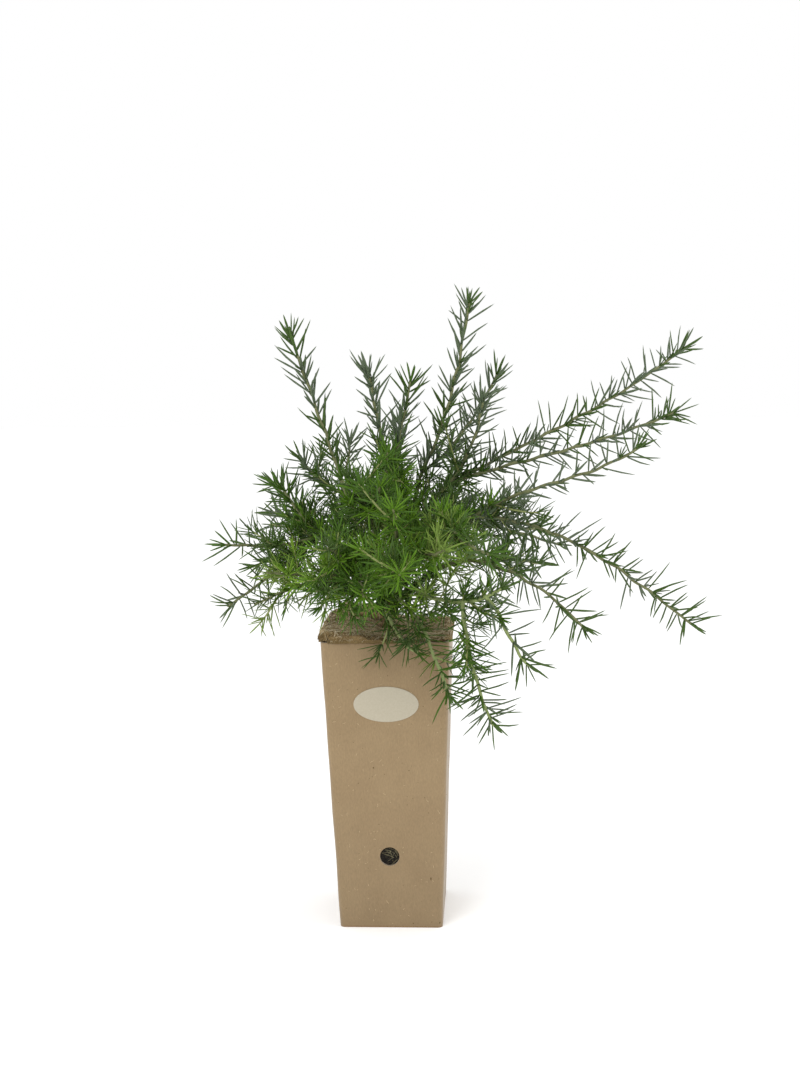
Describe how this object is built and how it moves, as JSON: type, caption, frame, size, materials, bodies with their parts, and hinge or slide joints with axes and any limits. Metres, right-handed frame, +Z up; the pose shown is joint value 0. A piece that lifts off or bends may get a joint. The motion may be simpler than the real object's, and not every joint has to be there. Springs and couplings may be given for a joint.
{
  "type": "potted juniper-leaved grevillea",
  "caption": "Young needle-leaved flowering shrub with arching shoots, growing through a coir mat in a tall, square, tapered cardboard pot with an oval label.",
  "frame": {"origin": "centre of the pot's flat underside", "axes": "+Z up, -Y out of the pot's labelled front, +X to the right seen from the front"},
  "size_m": [0.3951, 0.3658, 0.5137],
  "materials": {
    "cardboard": "matt recycled brown board",
    "label_paper": "matt cream paper",
    "potting_mix": "rough damp bark mix",
    "coir": "rough pressed coconut fibre",
    "bark": "fine fissured grey-brown bark",
    "foliage": "stiff satin green needles"
  },
  "bodies": {
    "root": {"pot": "cardboard", "label": "label_paper", "potting_mix": "potting_mix", "coir_mat": "coir", "coir_flap": "coir", "trunk": "bark", "bough_upper_left": "bark", "needles_upper_left": "foliage", "bough_upper_middle": "bark", "needles_upper_middle": "foliage", "bough_upper_right": "bark", "needles_upper_right": "foliage", "bough_right_high": "bark", "needles_right_high": "foliage", "bough_right_low": "bark", "needles_right_low": "foliage", "bough_right_hanging": "bark", "needles_right_hanging": "foliage", "bough_right_lowest": "bark", "needles_right_lowest": "foliage", "bough_rim_front": "bark", "needles_rim_front": "foliage", "bough_front_middle": "bark", "needles_front_middle": "foliage", "bough_front_right": "bark", "needles_front_right": "foliage", "bough_front_left": "bark", "needles_front_left": "foliage", "bough_front_high": "bark", "needles_front_high": "foliage", "bough_left_low": "bark", "needles_left_low": "foliage", "bough_left": "bark", "needles_left": "foliage", "bough_back_left": "bark", "needles_back_left": "foliage", "bough_back": "bark", "needles_back": "foliage", "bough_back_right": "bark", "needles_back_right": "foliage"}
  },
  "joints": []
}
